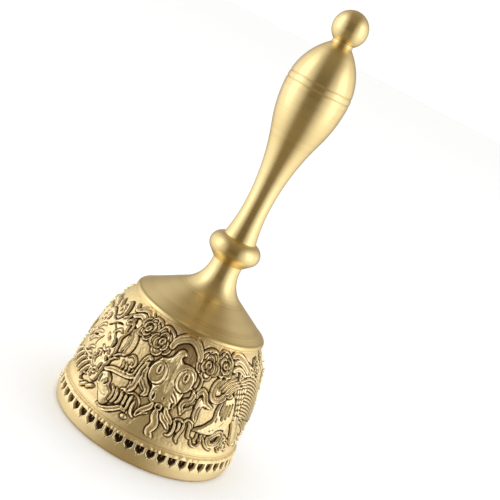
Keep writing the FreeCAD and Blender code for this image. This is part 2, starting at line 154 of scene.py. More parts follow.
def cast_brass():
    """The cup: rubbed bright on top of the relief and made paler there as a painted highlight, dull and brown
    on its ground and dark with patina in its recesses, both deepened as painted shade.
    """
    material = new_material("cast_brass")
    n = Nodes(material.node_tree)
    # The attribute runs from -1, rubbed brass lightened as a painted highlight, to 1, patina deepened as
    # painted shade.
    depth = n.add("Attribute", attribute_name="patina_shade_and_highlight").outputs["Fac"]
    grain = n.noise(n.stretched(2200, 2200), detail=4.0, rough=0.6)
    blotch = n.noise(n.stretched(170, 170), detail=4.0, rough=0.6)
    bare = n.mix(n.span(blotch, 0.35, 0.65), PALE_BRASS, CAST_BRASS)
    edge = n.maths("ADD", depth, n.maths("MULTIPLY", n.maths("SUBTRACT", grain, 0.5), 0.3))
    edge = n.maths("ADD", edge, n.maths("MULTIPLY", n.maths("SUBTRACT", blotch, 0.5), 0.5))
    # As the tone rises the colour goes dull, then dark with patina, both standing partly for shade. Below
    # zero it turns to the paler worn colour, a painted highlight.
    dull_and_shade_share = n.span(edge, 0.0, 0.5)
    patina_and_shade_share = n.span(edge, 0.42, 0.95)
    rubbed_and_highlit = n.mix(n.span(edge, -0.1, -0.6), bare, WORN_AND_HIGHLIT_BRASS)
    n.plug(n.shader, "Base Color", n.mix(patina_and_shade_share, n.mix(dull_and_shade_share, rubbed_and_highlit, DULL_AND_SHADED_BRASS), PATINA_AND_SHADE))
    n.plug(n.shader, "Roughness", n.span(edge, -0.6, 0.1, 0.26, 0.5))
    n.plug(n.shader, "Normal", n.bump(grain, 0.00006, 0.6))
    n.shine()
    return material


def plain_brass(name, tone, rough):
    """Brass parts inside the cup: turned or drawn, dulled in blotches."""
    material = new_material(name)
    n = Nodes(material.node_tree)
    marks = n.noise(n.stretched(900, 2400), detail=3.0)
    blotch = n.noise(n.stretched(260, 260), detail=4.0)
    n.plug(n.shader, "Base Color", n.mix(n.span(blotch, 0.45, 0.8), tone, darker(tone, 0.45)))
    n.plug(n.shader, "Roughness", n.span(marks, 0.3, 0.7, rough, rough + 0.16))
    n.plug(n.shader, "Normal", n.bump(marks, 0.00003, 0.5))
    n.shine()
    return material


def paper():
    """The pale paper under the bell."""
    material = new_material("floor_paper")
    n = Nodes(material.node_tree)
    fibre = n.noise(n.stretched(220, 220), detail=4.0)
    tone = n.mix(n.span(fibre, 0.3, 0.7), PAPER, darker(PAPER, 0.985))
    n.plug(n.shader, "Base Color", tone)
    n.plug(n.shader, "Roughness", 0.9)
    return material


# ---------------------------------------------------------------------------------------------
# Turned pieces
# ---------------------------------------------------------------------------------------------


def arc(start, end, radius, steps=24):
    """Points along an arc, its start left out. A positive radius bulges to the right of the way."""
    start, end = np.array(start, float), np.array(end, float)
    chord = end - start
    length = math.hypot(*chord)
    side = np.array((-chord[1], chord[0])) / length * math.copysign(1, radius)
    centre = (start + end) / 2 + side * math.sqrt(radius * radius - length * length / 4)
    from_angle = math.atan2(*(start - centre)[::-1])
    turn = 2 * math.asin(length / 2 / abs(radius)) * math.copysign(1, radius)
    angles = from_angle + turn * np.arange(1, steps + 1) / steps
    return [tuple(centre + abs(radius) * np.array((math.cos(a), math.sin(a)))) for a in angles]


def straight(start, end, steps):
    """Points along a straight run, its start left out."""
    return [tuple(np.array(start) + (np.array(end) - start) * k / steps) for k in range(1, steps + 1)]


def mesh_object(name, vertices, faces, sharp=35):
    """A mesh object from millimetre vertices, smooth but for its sharp edges."""
    mesh = bpy.data.meshes.new(name)
    mesh.from_pydata([tuple(v) for v in np.asarray(vertices) * MM], [], faces)
    mesh.shade_smooth()
    mesh.set_sharp_from_angle(angle=math.radians(sharp))
    obj = bpy.data.objects.new(name, mesh)
    bpy.context.scene.collection.objects.link(obj)
    return obj


SEGMENTS = 192


def lathe(name, outline):
    """Turns a closed outline of (radius, height) once round Z. A radius of 0 becomes one vertex."""
    vertices, rows = [], []
    for radius, height in outline:
        if radius < 1e-6:
            rows.append([len(vertices)] * SEGMENTS)
            vertices.append((0, 0, height))
        else:
            rows.append(list(range(len(vertices), len(vertices) + SEGMENTS)))
            for k in range(SEGMENTS):
                a = 2 * math.pi * k / SEGMENTS
                vertices.append((radius * math.cos(a), radius * math.sin(a), height))
    faces = []
    closed = outline[0][0] > 1e-6
    for i in range(len(rows) if closed else len(rows) - 1):
        low, high = rows[i], rows[(i + 1) % len(rows)]
        for k in range(SEGMENTS):
            m = (k + 1) % SEGMENTS
            face = list(dict.fromkeys((low[k], low[m], high[m], high[k])))
            faces.append(face)
    return mesh_object(name, vertices, faces)


def dress(obj, material, node):
    """Gives a piece of the bell its material and its body, and hides the CAD node that it stands for."""
    obj.data.materials.append(material)
    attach(obj, "bell")
    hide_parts(node)


def shoulder_cap():
    """The trumpet cap, with its rounded lip and the hollow over the cup's crown."""
    outline = [(15.6, 38.7), (19.95, 38.7)]
    outline += arc((19.95, 38.7), (20.25, 39.0), 0.3, 5)
    outline += arc((20.25, 39.15), (19.45, 39.95), 0.95, 8)
    outline += straight((19.45, 39.95), (8.94, 46.57), 30)
    outline += arc((8.94, 46.57), (4.5, 54.9), -10.0, 30)
    outline += [(4.5, 56.2), (2.1, 56.2), (2.1, 45.4), (6.6, 45.4), (15.6, 39.7)]
    return lathe("cap_turned", outline)


def collar_bead():
    """The bead under the grip, a little undercut where it meets its neighbours."""
    outline = [(2.1, 56.2), (4.6, 56.2), (4.79, 56.3)]
    outline += straight((4.79, 56.3), (6.83, 58.24), 6)
    outline += arc((6.83, 58.24), (7.77, 60.5), 3.2, 14)
    outline += arc((7.77, 60.5), (5.19, 63.7), 3.4, 18)
    outline += [(4.95, 63.8), (2.1, 63.8)]
    return lathe("bead_turned", outline)


def handle_grip():
    """The baluster grip: four arcs that meet smoothly, with two scribed rings round its widest part."""
    thin, wide, wide_height, end = 3.69, 9.5, 110.0, 3.1
    foot_radius, waist_radius, belly_radius, head_radius = 51.0, 70.0, 40.0, 18.5
    belly = (wide, wide_height)
    waist_centre = np.array((thin + waist_radius, 0.0))
    belly_centre = np.array((wide - belly_radius, wide_height))
    across = waist_centre[0] - belly_centre[0]
    waist_centre[1] = wide_height - math.sqrt((waist_radius + belly_radius) ** 2 - across ** 2)
    bend = waist_centre + (belly_centre - waist_centre) * waist_radius / (waist_radius + belly_radius)
    waist = (thin, waist_centre[1])
    foot_height = 63.85
    foot_rise = waist[1] - foot_height
    foot = (thin + foot_radius - math.sqrt(foot_radius ** 2 - foot_rise ** 2), foot_height)
    neck = (end, wide_height + math.sqrt(head_radius ** 2 - (head_radius - (wide - end)) ** 2))
    skin = [foot] + arc(foot, waist, -foot_radius, 40) + arc(waist, bend, -waist_radius, 70)
    skin += arc(bend, belly, belly_radius, 90) + arc(belly, neck, head_radius, 90)
    for ring in (110.35, 112.25):
        skin = [(r - 0.2 * math.exp(-((z - ring) / 0.2) ** 2), z) for r, z in skin]
    outline = [(2.0, 63.8), (foot[0] - 0.05, 63.8)] + skin
    outline += [(3.1, 124.15), (3.05, 124.2), (1.55, 124.2), (1.55, 118.0), (2.0, 82.0)]
    return lathe("grip_turned", outline)


def finial_ball():
    """The ball, with a fillet and a fine bead where it meets the grip."""
    centre, radius = 128.9, 5.1
    low = math.radians(-54)
    angles = np.linspace(low, math.pi / 2, 60)
    ball = [(radius * math.cos(a), centre + radius * math.sin(a)) for a in angles[:-1]]
    outline = [(0, 118.4), (1.5, 118.4), (1.5, 124.2), (3.05, 124.2), (3.12, 124.35), (3.05, 124.5)]
    outline += ball + [(0, centre + radius)]
    return lathe("ball_turned", outline)


# ---------------------------------------------------------------------------------------------
# The cup's relief
# ---------------------------------------------------------------------------------------------

PANEL = 720                       # columns in a half turn; the other half repeats them
CELL = 180 / PANEL                # degrees
FLANK = 26.5                      # the radius at which degrees become millimetres
LOW, HIGH, ROWS = 8.7, 38.1, 236  # the relief's foot and head, and its rows
STEP = 0.12                       # millimetres between the points of a smooth line
TRENCH = 0.9                      # how far the cut and the stain reach beside a stroke


def to_mm(degrees):
    return math.radians(degrees) * FLANK


def smooth_line(points, closed=False):
    """A smooth line through given (degrees, height) points, as millimetres along and up the flank."""
    p = np.array([(to_mm(a), z) for a, z in points], float)
    p = np.vstack((p[-1:], p, p[:2])) if closed else np.vstack((2 * p[0] - p[1], p, 2 * p[-1] - p[-2]))
    line = []
    for a, b, c, d in zip(p, p[1:], p[2:], p[3:]):
        count = max(2, int(math.hypot(*(c - b)) / STEP))
        t = (np.arange(count) / count)[:, None]
        line.append(b + 0.5 * t * (c - a + t * (2 * a - 5 * b + 4 * c - d + t * (3 * b - a - 3 * c + d))))
    if not closed:
        line.append(p[-2:-1])
    return np.vstack(line)


class Relief:
    """A height field of one half turn, in millimetres over the cup's ground, that wraps at its ends."""

    def __init__(self):
        self.height = np.zeros((ROWS, PANEL))
        self.patina_and_shade = np.zeros((ROWS, PANEL))
        self.outline = 1.0            # strength of the patina and painted shade beside what is laid next
        self.rise = (HIGH - LOW) / (ROWS - 1)

    def window(self, line, reach):
        """The cells within reach of a line: their place in the field, and their (along, up) points."""
        low, high = line.min(0) - reach, line.max(0) + reach
        first = max(0, int((low[1] - LOW) / self.rise))
        last = min(ROWS, int((high[1] - LOW) / self.rise) + 2)
        rows = np.arange(first, last)
        wide = to_mm(CELL)
        columns = np.arange(int(math.floor(low[0] / wide)), int(high[0] / wide) + 2)
        along, up = np.meshgrid(columns * wide, LOW + rows * self.rise)
        return np.ix_(rows, (columns + PANEL // 2) % PANEL), np.stack((along, up), -1)

    def distance(self, line, reach):
        """As window, with each cell's distance from the line and how far along the line it lies, 0 to 1."""
        place, points = self.window(line, reach)
        flat = points.reshape(-1, 2)
        best = np.full(len(flat), 1e9)
        share = np.zeros(len(flat))
        for start in range(0, len(line), 64):
            part = line[start:start + 64]
            d = ((flat[:, None, :] - part[None]) ** 2).sum(-1)
            nearest = d.argmin(1)
            d = d[np.arange(len(flat)), nearest]
            closer = d < best
            best[closer] = d[closer]
            share[closer] = (start + nearest[closer]) / max(1, len(line) - 1)
        shape = points.shape[:2]
        return place, points, np.sqrt(best).reshape(shape), share.reshape(shape)

    def inside(self, points, line):
        """Which points lie inside a closed line."""
        x, y = points[..., 0], points[..., 1]
        result = np.zeros(x.shape, bool)
        for (x0, y0), (x1, y1) in zip(line, np.roll(line, -1, 0)):
            if y0 != y1:
                crosses = (y0 > y) != (y1 > y)
                result ^= crosses & (x < x0 + (y - y0) * (x1 - x0) / (y1 - y0))
        return result

    def lay(self, place, edge, shape):
        """Lays a form over the field: its own shape where edge is negative, outside it a trench darkened with
        patina and painted shade.
        """
        field, patina_and_shade = self.height[place], self.patina_and_shade[place]
        cut = 0.3 * np.exp(-((edge - 0.1) / 0.17) ** 2)
        line, halo = np.exp(-((edge - 0.1) / 0.24) ** 2), np.exp(-(edge / 0.6) ** 2)
        # Painted shade: a dark line along each form's foot and a broad dark halo round it, laid over the
        # patina.
        shade = self.outline * (0.6 * line + 0.38 * halo)
        self.height[place] = np.where(edge < 0, shape, np.maximum(field - cut, np.minimum(field, -0.3)))
        self.patina_and_shade[place] = np.where(edge < 0, 0, np.maximum(patina_and_shade, shade))

    def ridge(self, points, width=0.3, height=0.75, on=0.0, ends=0.6, closed=False):
        """A rounded strand that thins towards its ends."""
        line = smooth_line(points, closed)
        place, _, d, share = self.distance(line, width + TRENCH)
        thin = 1 if closed else 1 - ends * np.abs(2 * share - 1) ** 4
        w = width * thin
        self.lay(place, d - w, on + (height - on) * thin * (1 - np.clip(d / w, 0, 1) ** 2.2))

    def band(self, points, width=0.6, height=0.85, ends=0.5, closed=False):
        """A ribbon with a raised line along each edge. Its width is from its middle to those lines."""
        line = smooth_line(points, closed)
        lip = 0.24
        place, _, d, share = self.distance(line, width + lip + TRENCH)
        middle = width * (1 if closed else 1 - ends * np.abs(2 * share - 1) ** 5)
        inward = np.exp(-((d - middle) / 0.2) ** 2)
        outward = 1 - np.clip((d - middle) / lip, 0, 1) ** 2
        shape = np.where(d < middle, 0.25 + 0.75 * inward, outward)
        self.lay(place, d - middle - lip, height * shape)

    def plate(self, points, height=0.6, dome=0.3, rim=0.0, spread=1.5):
        """A filled form with rounded sides and a domed face."""
        line = smooth_line(points, closed=True)
        place, cells, d, _ = self.distance(line, 0.1 + TRENCH)
        within = self.inside(cells, line)
        side = np.sqrt(np.clip(d / 0.4, 0, 1))
        shape = height * side + dome * (1 - np.exp(-d / spread)) + rim * np.exp(-((d - 0.22) / 0.14) ** 2)
        self.lay(place, np.where(within, -d, d), shape)

    def add(self, points, width, height, closed=False, ends=0.6):
        """Raises, or with a negative height cuts, a soft line on whatever is there."""
        line = smooth_line(points, closed)
        place, _, d, share = self.distance(line, width * 1.6)
        w = width * (1 if closed else 1 - ends * np.abs(2 * share - 1) ** 4)
        self.height[place] += height * np.exp(-(d / w) ** 2 * 1.6)

    def slot(self, points, width=0.4, depth=0.9):
        """A cut that narrows towards its ends, with a small raised lip along each side. It is darkened with
        patina and painted shade.
        """
        line = smooth_line(points)
        place, _, d, share = self.distance(line, width + 0.8)
        w = width * (1 - 0.5 * np.abs(2 * share - 1) ** 3)
        cut = np.exp(-(d / w) ** 4)
        lip = 0.16 * np.exp(-((d - w - 0.28) / 0.2) ** 2)
        self.height[place] += lip - depth * cut
        self.patina_and_shade[place] = np.maximum(self.patina_and_shade[place], cut)

    def pool(self, points, depth=0.3, patina_and_shade=0.8):
        """A sunk piece of ground, darkened with patina and painted shade."""
        line = smooth_line(points, closed=True)
        place, cells, d, _ = self.distance(line, 0.4)
        share = np.clip(0.5 + np.where(self.inside(cells, line), d, -d) / 0.5, 0, 1)
        self.height[place] -= depth * share
        self.patina_and_shade[place] = np.maximum(self.patina_and_shade[place], patina_and_shade * share)

    def ring(self, centre, across, up, width=0.26, height=0.8, on=0.0):
        """An oval strand. across and up are its half sizes in millimetres."""
        self.ridge(oval(centre, across, up), width, height, on, closed=True)

    def pit(self, centre, radius, depth=0.5):
        self.add(oval(centre, radius * 0.4, radius * 0.4, 5), radius, -depth, closed=True)


def oval(centre, across, up, count=10):
    """Points round an oval, from half sizes in millimetres."""
    scale = 1 / to_mm(1)
    angles = [2 * math.pi * k / count for k in range(count)]
    return [(centre[0] + across * scale * math.cos(a), centre[1] + up * math.sin(a)) for a in angles]


def swirl(centre, start, end, turns, phase):
    """Points along a spiral from one radius to another, in millimetres. A negative turn runs clockwise."""
    scale = 1 / to_mm(1)
    count = max(4, int(abs(turns) * 9))
    points = []
    for k in range(count + 1):
        t = k / count
        a = math.radians(phase) + 2 * math.pi * turns * t
        r = start + (end - start) * t
        points.append((centre[0] + r * scale * math.cos(a), centre[1] + r * math.sin(a)))
    return points


def cloud(relief, centre, size=1.0, turn=1, phase=0.0):
    """A cloud like an open rose: five outer petals, three inner ones over them, and a curled heart."""
    scale = size / to_mm(1)
    for away, radius, count, height in ((1.6, 1.38, 5, 0.88), (0.72, 1.12, 3, 0.98)):
        for k in range(count):
            face = phase + 360 * k / count * turn
            a = math.radians(face)
            middle = (centre[0] + away * scale * math.cos(a), centre[1] + away * size * math.sin(a))
            relief.plate(oval(middle, radius * size, radius * size, 10), height - 0.62, 0.12)
            petal = swirl(middle, radius * size, radius * size * 0.8, 0.58 * turn, face - 100 * turn)
            relief.ridge(petal, 0.27, height, ends=0.5)
    relief.plate(oval(centre, 0.85 * size, 0.95 * size, 8), 0.4, 0.1)
    relief.ridge(swirl(centre, 0.8 * size, 0.3 * size, 1.05 * turn, phase + 30), 0.27, 1.05, ends=0.3)


def comb(relief, fingers):
    """Hanging flames side by side."""
    for finger in fingers:
        relief.ridge(finger, 0.52, 0.9, ends=0.75)


def beast_mask(relief):
    """The horned mask at the panel's middle, under an arch."""
    pocket = [(-2.5, 32), (-3.5, 34.5), (0, 36), (4, 36.5), (9, 36)]
    pocket += [(12.2, 34), (12.5, 31.8), (8, 31.2), (2, 31.5)]
    relief.pool(pocket, 0.3, 0.5)
    relief.plate([
        (6.4, 33.3), (4.6, 34.1), (2.0, 34.2), (-0.4, 33.4), (-1.8, 31.8), (-4.5, 30.7), (-8, 30),
        (-10, 28), (-10.2, 25.6), (-8.4, 23.6), (-6, 22.9), (-4.7, 22), (-4.4, 20.4), (-3, 18.9),
        (-1, 18.2), (1.4, 18.6), (4.2, 17.9), (7, 18.5), (9.6, 18.2), (12, 19.4), (13.6, 21.6),
        (14.3, 23.9), (13.6, 25), (16, 26), (18, 28), (17.2, 30), (14, 31.1), (10, 31.3), (6.6, 31.2),
        (4.6, 31.7), (3.9, 32.5),
    ], 0.5, 0.5, spread=2.0)
    relief.add([(-1.2, 30.4), (-0.4, 32.2), (1.6, 33.5), (4.4, 33.7), (6.2, 33.3)], 0.36, 0.3)
    relief.add([(1.6, 30.6), (1.8, 31.8), (2.8, 32.7)], 0.3, -0.25)
    for (x, z), side in (((-5.4, 27.3), 1), ((11.4, 28.3), -1)):
        relief.plate(oval((x - 0.5 * side, z - 1.0), 2.5, 3.2, 12), 0.9, -0.3, spread=1.2)
        # Half the patina and painted shade round the curls and their rings.
        relief.outline = 0.5
        curl = [(x + 1.6 * side, z + 1.9), (x + 4.0 * side, z + 0.5), (x + 4.5 * side, z - 1.6)]
        curl += [(x + 2.8 * side, z - 3.3), (x - 1.2 * side, z - 4.1)]
        relief.ridge(curl, 0.42, 1.15, on=0.55, ends=0.85)
        relief.ring((x, z), 0.62, 1.2, 0.28, 1.05, 0.6)
        relief.outline = 1.0
    for shift in (0, 1, 2):
        low = 1.25 * shift
        relief.add([(7.0, 24.6 - low), (10.6, 23.2 - low), (13.2 - 0.5 * shift, 21.4 - low)], 0.34, 0.45)
        relief.add([(7.6, 23.9 - low), (10.8, 22.6 - low), (12.8 - 0.5 * shift, 20.8 - low)], 0.26, -0.3)
        relief.add([(-0.6, 23.8 - low), (-3.0, 22.7 - low), (-4.0 + 0.4 * shift, 21.2 - low)], 0.3, 0.35)
    relief.add([(-1.2, 25.4), (2.9, 26.2), (6.6, 25.4)], 0.7, 0.22)
    relief.add([(2.9, 31.0), (2.8, 27.0), (3.6, 22.6)], 0.8, 0.22)
    relief.add([(-1.3, 19.3), (-1.4, 21.2)], 0.38, -0.8)
    relief.add([(10.8, 19.2), (10.9, 20.8)], 0.46, -0.9)
    relief.pit((4.7, 21.0), 0.34, 0.45)
    relief.ring((4.1, 18.2), 0.8, 0.85, 0.26, 1.1, 0.5)
    relief.band([(0.4, 18.4), (-0.4, 17.0), (-2.6, 15.8), (-4.6, 14.6), (-5.8, 12.9)], 0.55, 0.85, ends=0.8)
    relief.ridge([(0.4, 15.2), (-2.4, 14.5), (-4.4, 13.6), (-5.2, 12.6)], 0.3)
    relief.band([(8.2, 18.7), (10.2, 17.2), (12.8, 16.3), (15.2, 15.1)], 0.5, 0.85, ends=0.8)
    relief.band([(7.2, 17), (9.2, 15.6), (12.2, 14.7), (15, 13.4)], 0.5, 0.8, ends=0.8)
    relief.band([
        (3.9, 17.3), (4.6, 15.3), (6.2, 13.9), (6.5, 12.6), (5.4, 11.3), (5.6, 10.3), (8.0, 9.6),
    ], 0.85, 0.9, ends=0.8)
    arch = [(-5.8, 33.9), (-4.6, 35.5), (0, 36.9), (5, 37.4), (10, 36.7), (14.2, 35.1), (15.2, 34.0)]
    relief.band(arch, 0.85, 1.0, ends=0.2)
    relief.add(arch, 0.2, 0.45)


def clouds(relief):
    """The cloud heads along the top of the panel, and the trails between them."""
    relief.band([(-45, 35.8), (-40, 37.3), (-35, 37.5), (-30.5, 36.4), (-28.5, 35.4)], 0.6, 0.8)
    relief.band([(-43, 34.4), (-38, 35.6), (-33.5, 35.2), (-31.4, 33.8)], 0.5, 0.75)
    relief.band([(41, 36.9), (46, 37.4), (52, 36.8), (57, 35.3), (61, 33.4)], 0.6, 0.8)
    relief.band([(43, 35.5), (48, 35.9), (53, 35), (57, 33.6)], 0.42, 0.75)
    relief.band([(42.5, 33.7), (47, 34.3), (51, 33.9), (55, 32.8)], 0.42, 0.75)
    for centre, size, turn, phase in (
        ((70, 34.2), 0.9, -1, 60), ((82, 35.4), 0.7, 1, 20), ((35.0, 34.4), 1.1, -1, 20),
        ((-26.8, 34.4), 1.1, 1, 160), ((22.4, 33.3), 1.32, -1, 200), ((-13.4, 33.4), 1.32, 1, 340),
        ((57.5, 11.9), 0.72, -1, 40), ((-82, 12.4), 0.8, -1, 200), ((80, 12), 0.7, 1, 0),
        ((91, 29.2), 0.95, 1, 70), ((88.5, 21.4), 0.8, -1, 10), ((92, 14.6), 0.85, 1, 250),
    ):
        cloud(relief, centre, size, turn, phase)
    relief.ridge([(-19.5, 36.4), (-16, 37.1), (-12, 36.9), (-8.4, 36), (-6, 34.2), (-5.4, 32.4)], 0.3, 0.8)
    relief.ridge([(28, 36.6), (24, 37), (19, 36.6), (15.5, 35.2), (14.2, 33.2), (15.2, 31.6)], 0.3, 0.8)
    relief.ridge([(-29.5, 36.8), (-26.5, 37.4), (-22, 37.2), (-19.6, 36.2)], 0.3, 0.8)
    relief.ridge([(29.5, 37.1), (33, 37.8), (37.5, 37), (40.5, 35.4), (41, 33.4)], 0.3, 0.8)


def limbs(relief):
    """Ribbons, leaves and hanging flames on each side of the mask."""
    relief.band([
        (-13.2, 28.3), (-15.2, 28.3), (-16.4, 26.6), (-16.8, 24), (-17.8, 21.9), (-21, 21.1), (-27, 20.5),
        (-32, 20), (-36.5, 18.9),
    ], 0.55, 0.9)
    relief.band([
        (-13.4, 27.2), (-14.6, 25.2), (-14.9, 22.8), (-14.6, 20.6), (-15.3, 18.8), (-18, 17.3),
    ], 0.62, 0.9, ends=0.8)
    relief.band([
        (-12.2, 26), (-12.4, 23.9), (-9.6, 22), (-6.9, 21), (-6.3, 19.7), (-7.9, 18.8),
    ], 0.6, 0.85, ends=0.8)
    relief.ridge([(-13.2, 23.8), (-12.6, 21.6), (-10.4, 20.6), (-8.6, 20)], 0.3)
    relief.ridge([(-17.8, 20.6), (-17.0, 19.4), (-17.7, 18)], 0.28)
    relief.ridge([
        (-26.6, 25.4), (-24.4, 26.3), (-21.6, 25.8), (-20.3, 24.4), (-21.8, 23.4), (-23, 24.3),
    ], 0.34)
    for x in (-28.3, -25.8, -23.4):
        relief.ridge([(x, 23.6), (x + 1.2, 22.6), (x + 0.8, 21.4)], 0.3, 0.7)
    comb(relief, (
        [(-23.2, 16.6), (-21.4, 15.2), (-21.6, 13.3), (-23.4, 11.9)],
        [(-19.2, 16.8), (-18.2, 15.2), (-18.6, 13.6), (-20.4, 12.6)],
        [(-15.8, 16.8), (-15.2, 15.2), (-15.4, 13.2)],
        [(-12.2, 17.6), (-12.6, 15.6), (-12.2, 13.8), (-13.2, 12.4)],
        [(-9.6, 16.4), (-9.7, 14.4), (-8.8, 12.8), (-6.4, 11.9)],
    ))
    relief.ridge([
        (-21, 16.9), (-18, 17.7), (-15.4, 17.2), (-12.4, 18), (-9, 17.6), (-6.6, 16.4), (-6.2, 15),
    ], 0.3)
    relief.plate(oval((-11.6, 10.9), 1.0, 0.75, 8), 0.45, 0.1)
    relief.band([
        (22.8, 24.4), (23, 25.8), (25, 26.6), (27.6, 25.8), (29.4, 24), (32, 23.2), (35.2, 22.8),
    ], 0.55, 0.9, ends=0.8)
    relief.plate([
        (24.2, 23.8), (24.4, 21), (25.4, 18.6), (27.8, 17.1), (28.7, 18.4), (27.9, 20.6), (28.5, 22.7),
        (31.4, 22.2), (28.2, 23.6), (26, 24.8),
    ], 0.72, 0.1, rim=0.2)
    relief.add([(26.3, 22.4), (26.2, 20.4), (27.0, 18.7)], 0.34, -0.6)
    relief.pit((24.5, 25.0), 0.36, 0.5)
    relief.band([
        (19.4, 25.8), (20.6, 24.2), (19.6, 22.9), (16.8, 22.2), (15.9, 20.8), (17.2, 19.6), (17.6, 18.6),
    ], 0.5, 0.85, ends=0.8)
    relief.ridge([(23, 21.9), (20.6, 20.8), (18.9, 20.2), (18.2, 18.8)], 0.32)
    relief.ridge([(15, 24.7), (16.4, 25.9), (18, 26.2)], 0.42, 0.8)
    relief.ridge([(18.4, 30.4), (21.4, 29.4), (22, 27.4), (20.6, 25.8)], 0.36, 0.8)
    comb(relief, (
        [(16, 16.6), (17.7, 15.2), (18.2, 13.4), (17, 11.9), (14.6, 11.7)],
        [(19.6, 16.8), (20.6, 15), (20.4, 13.2)],
        [(22.6, 17.2), (23, 15), (22.2, 13.2), (22, 11.6), (23.8, 10.4)],
        [(24.6, 17.6), (26.6, 16.4), (27.4, 14.6), (28.4, 13.2), (31, 12.8)],
    ))
    relief.ridge([
        (15.4, 15.6), (17.2, 17), (20, 17.2), (22, 16.8), (24.2, 18), (27.4, 17.2), (28.8, 15.4),
    ], 0.3)


